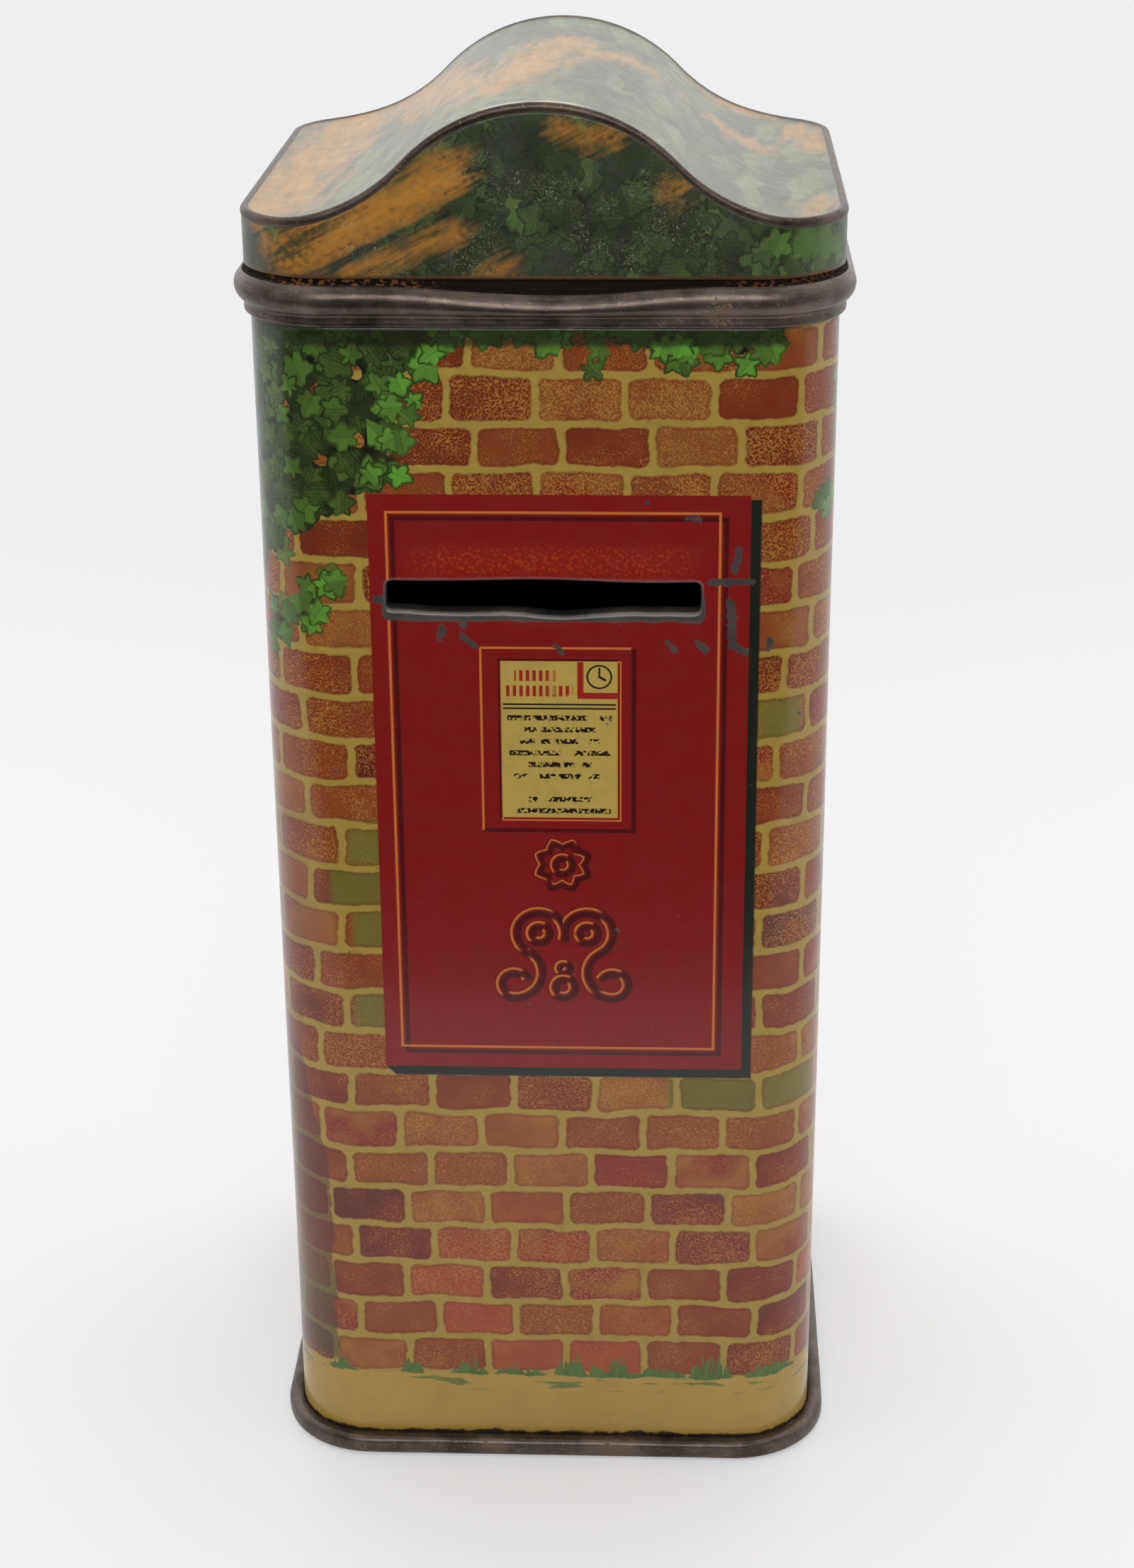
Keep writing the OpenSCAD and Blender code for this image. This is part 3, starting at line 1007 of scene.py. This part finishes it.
CHIPS = ((-17, 104.7, -16.2, 104.9, 0.9), (-10.7, 100.8, -10.5, 101.6, 0.7),
         (-8.3, 102, -8.2, 102.6, 0.5), (-8.4, 100.8, -7.3, 99.8, 0.6), (1.2, 99.7, 1.9, 99, 0.25),
         (12.8, 100.2, 13.6, 99.2, 0.3), (16, 100.2, 16.8, 99.3, 0.4), (17.3, 106.7, 21.4, 106.9, 0.5),
         (19.3, 104.6, 19.5, 100.4, 0.6), (19.4, 99.9, 20.8, 99.2, 0.6), (20, 110.2, 19.6, 108, 0.5),
         (14.8, 113.6, 16, 113.5, 0.35), (23.2, 99.6, 23.4, 100.4, 0.5))


def chips(at):
    """Where the print is chipped off: round the slot's ends, beside it and in a few scratches."""
    ragged = swing(at, 1.9, 31, detail=3)
    nearest = streak(at, *CHIPS[0])
    for chip in CHIPS[1:]:
        nearest = lowest(nearest, streak(at, *chip))
    specks = swing(at, 0.9, 33)
    return highest(within(nearest + ragged - 0.1, 0.1), ramp(specks, 0.27, 0.29))


def slot_wear(at):
    """Where the print is worn off the slot's edge: broadly below it and hardly above."""
    rise = at.z - SLOT_Z
    across = highest(abs(at.x) - SLOT_HALF_W, 0) * 2.4
    upright = highest(abs(rise) - SLOT_HALF_H, 0)
    away = length(vector(across, upright))
    reach = ramp(rise, -0.5, 0.5, 1.1, 0.15) + swing(at, 0.7, 35, detail=3) * 0.7
    return ramp(away - reach, 0.15, -0.15)


def make_print():
    """The whole print of the body's wrap, with its varnish and wear."""
    at = begin_print("printed_brick_wall")
    wobble = swing(at, 0.3, 1)
    shade = brick_shade(at, wobble)
    shade = side_shade(at, shade, wobble)
    shade = ground(at, shade, wobble)
    shade = ivy(at, shade)
    shade = door(at, shade)
    dirt = noise(at, 0.35, 41, detail=5, roughness=0.65)
    foot = ramp(at.z - dirt * 1.9, 1.75, 1.4)
    worn = highest(chips(at), slot_wear(at))
    shade = mix(ramp(dirt, 0.45, 0.75) * 0.12, shade, (60, 46, 30))
    shade = mix(worn, shade, mix(dirt, CHIP_GREY, (112, 108, 104)))
    shade = mix(foot, shade, (34, 24, 16))
    rough = calc("MULTIPLY_ADD", dirt, 0.12, 0.16) + highest(worn * 0.2, foot * 0.45)
    bump = noise(at, 0.5, 43) * 0.5
    return finish(shade, rough, worn * 0.75, bump, 0.008, IOR=1.46, Coat_Weight=0.1, Coat_Roughness=0.1)


# ---- the lid's print


def leafy(at, dark, mid, light):
    """Loose leafy blobs in three greens."""
    warp = swing(at, 0.5, 51)
    warped = vector(at.x + warp * 3.5, at.z * 0.75 + warp * 2.5)
    spread = {"Vector": warped, "Scale": 0.42, "Randomness": 1}
    cells = node("TexVoronoi", spread, voronoi_dimensions="2D").socket.node
    pick = node("SeparateColor", {0: Value(cells.outputs["Color"])})
    tone = pick * 0.8 + swing(at, 0.13, 52) * 1.1
    tone = tone - ramp(Value(cells.outputs["Distance"]), 0.35, 0.75) * 0.5
    return palette(tone, (0, *dark), (0.38, *mid), (0.75, *light))


def scratches(at):
    """Fine pale curls where the varnish is crazed."""
    curls = abs(swing(at, 1.5, 54, distortion=1.2))
    where = ramp(noise(at, 0.12, 55), 0.46, 0.6)
    return ramp(curls, 0.012, 0.004) * where


LID_STROKES = ((-24, 140.6, -9, 148.2, 5.4), (-18.5, 139, -8.5, 142.6, 2.8),
               (-29.5, 144, -25.5, 139.5, 2), (-23, 143.6, -20, 142.4, 1.2),
               (-5.2, 138.6, -3.4, 139.4, 1.5), (2, 152.8, 7.2, 151.9, 2),
               (12.6, 146.6, 14.8, 147.4, 1.3), (38, 140, 52, 144, 3.4),
               (-60, 142, -46, 139.6, 3), (-104, 142, -90, 149, 4),
               (92, 141, 108, 146, 3))


def nearest_streak(at, streaks):
    """Signed distance to the nearest of several strokes."""
    return lowest(*[streak(at, *each) for each in streaks])


def brushed(at, turn, seed):
    """Noise drawn out along a direction, as a brush leaves it."""
    turned = node("VectorRotate", {"Vector": at, "Angle": -turn}, rotation_type="Z_AXIS")
    return noise(turned, 0.62, seed, detail=4, roughness=0.6, stretch=(0.14, 1.2, 1))


def make_lid_print():
    """Green foliage with ochre-orange strokes, dull and scratched."""
    at = begin_print("printed_lid_foliage")
    shade = leafy(at, (30, 34, 16), (50, 64, 26), (66, 92, 34))
    for size, seed in ((4.4, 1), (3.4, 3)):
        place, leaf = leaves(at, size, seed, -0.22)
        shade = mix(place * 0.8, shade, leaf)
    grey = ramp(noise(at, 0.15, 57, detail=3), 0.52, 0.66)
    shade = mix(grey * 0.6, shade, (46, 47, 42))
    ragged = swing(at, 0.5, 58, detail=4) * 2
    grain = brushed(at, 0.47, 59)
    strokes = nearest_streak(at, LID_STROKES) + ragged + (grain - 0.5) * 9
    fine = noise(at, 1.5, 60, detail=3)
    ochre = palette(grain * 1.3 + (fine - 0.5) * 0.5 - 0.12,
                    (0.25, 84, 60, 8), (0.5, 148, 96, 6), (0.8, 176, 114, 12))
    cover = ramp(strokes, 1.3, -1.7) * ramp(grain + (fine - 0.5) * 0.4, 0.28, 0.5, 0.35, 0.95)
    shade = mix(cover, shade, ochre)
    curls = scratches(at)
    shade = mix(curls * 0.7, shade, (150, 146, 116))
    dirt = noise(at, 0.5, 61, detail=5, roughness=0.7)
    shade = mix(ramp(dirt, 0.52, 0.74) * 0.3, shade, (34, 30, 22))
    foot = ramp(at.z - dirt * 0.8, LID_FOOT + 0.15, LID_FOOT - 0.3)
    shade = mix(foot, shade, (96, 66, 40))
    rough = calc("MULTIPLY_ADD", dirt, 0.3, 0.26)
    return finish(shade, rough, foot * 0.6, dirt + curls * 0.5, IOR=1.5, Coat_Weight=0.15,
                  Coat_Roughness=0.2)


TOP_STROKES = ((-27.5, -24, -23, 28, 7.5), (-17, 26, -8.5, -8, 6),
               (-5, -16, 1, 11, 6.5), (4, 6, 10, 11, 3),
               (27, 22, 29, 11, 3.4), (18, 11, 22, 6.5, 2.4),
               (18, 27, 22, 29, 3), (27.5, -26, 29, -18, 1.2))


def make_top_print():
    """The same foliage on the lid's top, faded and rubbed, with peach-orange strokes."""
    at = begin_print("printed_lid_top_foliage")
    streaked = vector_math("MULTIPLY", at, (1, 0.3, 1))
    shade = leafy(Place(streaked), (66, 72, 40), (88, 94, 56), (108, 114, 72))
    grain = brushed(at, 1.45, 74)
    strokes = nearest_streak(at, TOP_STROKES) + (grain - 0.5) * 12
    strokes = strokes + swing(streaked, 0.6, 71, detail=4) * 4
    orange = mix(grain, (146, 96, 10), (204, 146, 26))
    shade = mix(ramp(strokes, 3.4, -2.6) * 0.94, shade, orange)
    fine = ramp(brushed(at, 1.6, 75), 0.35, 0.65)
    shade = mix(fine * 0.3, shade, (56, 62, 34))
    dirt = noise(at, 0.4, 73, detail=6, roughness=0.7)
    shade = mix(ramp(dirt, 0.5, 0.8) * 0.3, shade, (96, 98, 84))
    shade = mix(scratches(at) * 0.4, shade, (190, 190, 176))
    front_edge = ramp(at.z, -HALF + 2.6, -HALF + 1.2) * ramp(abs(at.x + 1), 7, 4)
    shade = mix(front_edge * ramp(dirt, 0.4, 0.55) * 0.7, shade, (214, 206, 190))
    rough = calc("MULTIPLY_ADD", dirt, 0.25, 0.24)
    return finish(shade, rough, 0, dirt, 0.015, IOR=1.45, Coat_Weight=0.1, Coat_Roughness=0.2)


# ---- bare metal


def begin_bare(name):
    """Starts the material of bare metal. Returns the place in the object, in millimetres."""
    begin(name)
    return scaled(node("TexCoord", {}, "Object"), 1 / MM)


def make_tinplate(name, dull, bright, rust_share, polish):
    """Tarnished bare tinplate: cloudy grey-brown, drawn scratches, specks of rust."""
    at = begin_bare(name)
    cloud = noise(at, 0.16, 1, detail=4, roughness=0.6)
    speck = noise(at, 2.6, 2, detail=3, roughness=0.6)
    drawn = noise(at, 1.4, 3, detail=3, stretch=(0.35, 0.35, 5))
    shade = mix(ramp(cloud + (drawn - 0.5) * 0.3, 0.3, 0.7), dull, bright)
    rust = ramp(speck + (cloud - 0.5) * 1.1, 0.74 - rust_share, 0.84 - rust_share)
    shade = mix(rust * 0.75, shade, mix(speck, (66, 36, 18), (120, 74, 38)))
    glint = ramp(noise(at, 3.4, 4, detail=1), 0.66, 0.74)
    shade = mix(glint * 0.25, shade, (176, 158, 130))
    rough = calc("MULTIPLY_ADD", cloud, 0.22, polish) + rust * 0.3
    bump = drawn * 0.4 + speck * 0.6
    return finish(shade, rough, ramp(rust, 1, 0, 0.15, 0.85), bump, 0.005, IOR=1.5)


def make_neck_shade():
    """Painted shade in the crevice over the bead, under the lid's edge: near-black, with coppery grit on
    its left.
    """
    at = begin_bare("painted_shade_over_bead")
    x = split(at)[0]
    cloud = noise(at, 0.5, 5, detail=4, roughness=0.6)
    # painted shade: cloudy near-black where the lid's edge shades the neck
    shade = mix(cloud, (10, 7, 6), (30, 22, 16))
    grit = ramp(noise(at, 1.8, 6, detail=3), 0.5, 0.6)
    grit = grit * highest(ramp(abs(x + 19), 10, 5), ramp(abs(x - 24), 7, 4) * 0.5)
    shade = mix(grit * 0.8, shade, (150, 98, 56))
    return finish(shade, 0.85, grit * 0.5, cloud + grit, 0.03, IOR=1.25)


def make_lacquer():
    """The plain inside: thin gold lacquer over tinplate."""
    at = begin_bare("inside_gold_lacquer")
    cloud = noise(at, 0.1, 8, detail=5, roughness=0.6)
    shade = mix(cloud, (120, 94, 50), (156, 130, 78))
    spots = ramp(noise(at, 0.9, 9, detail=3), 0.64, 0.72)
    shade = mix(spots * 0.6, shade, (84, 54, 28))
    return finish(shade, calc("MULTIPLY_ADD", cloud, 0.2, 0.28), 0.8, cloud, 0.02, IOR=1.5)


# ---- stage, light and camera

CAMERA_AT = Vector((0.0139, -0.3089, 0.2008))
CAMERA_DOWN, CAMERA_TURN, CAMERA_ROLL = 22.66, 2.38, -0.42
PHOTO_W, PHOTO_H = 1600, 2213
FOCAL_WIDTHS = 2.527  # focal length as a multiple of the picture's width


def make_camera():
    lens = bpy.data.cameras.new("camera")
    lens.sensor_width = 36
    lens.lens = FOCAL_WIDTHS * lens.sensor_width * PHOTO_W / PHOTO_H
    lens.clip_start, lens.clip_end = 0.01, 50
    camera = show("camera", lens)
    place = Matrix.Translation(CAMERA_AT)
    for angle, axis in ((CAMERA_TURN, "Z"), (90 - CAMERA_DOWN, "X"), (CAMERA_ROLL, "Z")):
        place = place @ Matrix.Rotation(math.radians(angle), 4, axis)
    camera.matrix_world = place
    bpy.context.scene.camera = camera


def make_panels(name, points, faces):
    mesh = bpy.data.meshes.new(name)
    mesh.from_pydata(points, [], faces)
    return show(name, mesh)


def make_floor():
    """A pale floor with a faint glow of its own, and painted shade that makes it a little greyer towards
    the back.
    """
    floor = make_panels("floor", [(-4, -4, 0), (4, -4, 0), (4, 4, 0), (-4, 4, 0)], [(0, 1, 2, 3)])
    begin("pale_floor")
    y = split(node("TexCoord", {}, "Object"))[1]
    # painted shade: the floor turns greyer from 0.12 m to 0.34 m behind the tin
    shade = mix(ramp(y, 0.12, 0.34), (0.53, 0.53, 0.535, 1), (0.47, 0.47, 0.475, 1))
    # painted light: a faint glow of the floor's own that lightens the shadows on it
    glow = {"Emission_Color": (1, 0.99, 0.99, 1), "Emission_Strength": 0.32}
    floor.data.materials.append(finish(shade, 0.7, IOR=1.3, **glow))


def make_flag():
    """A black card in front of the tin that only reflections see, as the dark side of a studio."""
    half, near, far, top = 1.2, -0.145, -1.1, 0.42
    points = [(-half, near, 0.001), (half, near, 0.001), (half, far, 0.001), (-half, far, 0.001),
              (half, far, top), (-half, far, top)]
    flag = make_panels("flag", points, [(0, 1, 2, 3), (3, 2, 4, 5)])
    flag.visible_camera = flag.visible_diffuse = flag.visible_shadow = False
    begin("black_card")
    flag.data.materials.append(finish((0.004, 0.004, 0.004, 1), 1))


def make_light():
    """Soft light from all round, strongest behind and above, and a softbox over the camera."""
    begin("studio", "worlds")
    bpy.context.scene.world = WORK[-1]
    x, y, z = split(node("TexCoord", {}, "Generated"))
    back = ramp(y, -0.7, 0.5, 0.3, 1.3)
    above = ramp(z, 0.1, 0.9, 0, 0.25)
    seen = node("LightPath", {}, "Is Camera Ray")
    level = (back + above) * (1 - seen) + seen * 0.8
    light = node("Background", {0: node("CombineColor", {0: level * 0.99, 1: level * 0.99, 2: level})})
    node("OutputWorld", {0: light})
    lamp = bpy.data.lights.new("softbox", "AREA")
    lamp.shape, lamp.size, lamp.size_y, lamp.energy = "RECTANGLE", 0.55, 0.14, 2.2
    softbox = show("softbox", lamp)
    softbox.location = (0, -0.7, 0.46)
    softbox.rotation_euler = (Vector((0, 0, 0.1)) - softbox.location).to_track_quat("-Z", "Y").to_euler()


def make_all():
    bare = make_tinplate("worn_slot_lip", (96, 92, 90), (142, 138, 134), -0.05, 0.3)
    collar = make_tinplate("tarnished_collar", (62, 53, 47), (108, 97, 90), 0.04, 0.26)
    foot = make_tinplate("tarnished_base", (62, 54, 48), (102, 92, 84), 0.05, 0.27)
    seam = make_tinplate("tarnished_lid_seam", (58, 49, 43), (98, 86, 76), 0.02, 0.3)
    lacquer = make_lacquer()
    make_wrap([make_print(), bare, lacquer])
    make_collar([collar, make_neck_shade()])
    make_base([foot, lacquer])
    make_lid_wall([make_lid_print(), lacquer])
    make_lid_top([make_top_print(), seam, lacquer])


make_all()
make_floor()
make_flag()
make_light()
make_camera()
bpy.context.scene.view_settings.view_transform = "Standard"
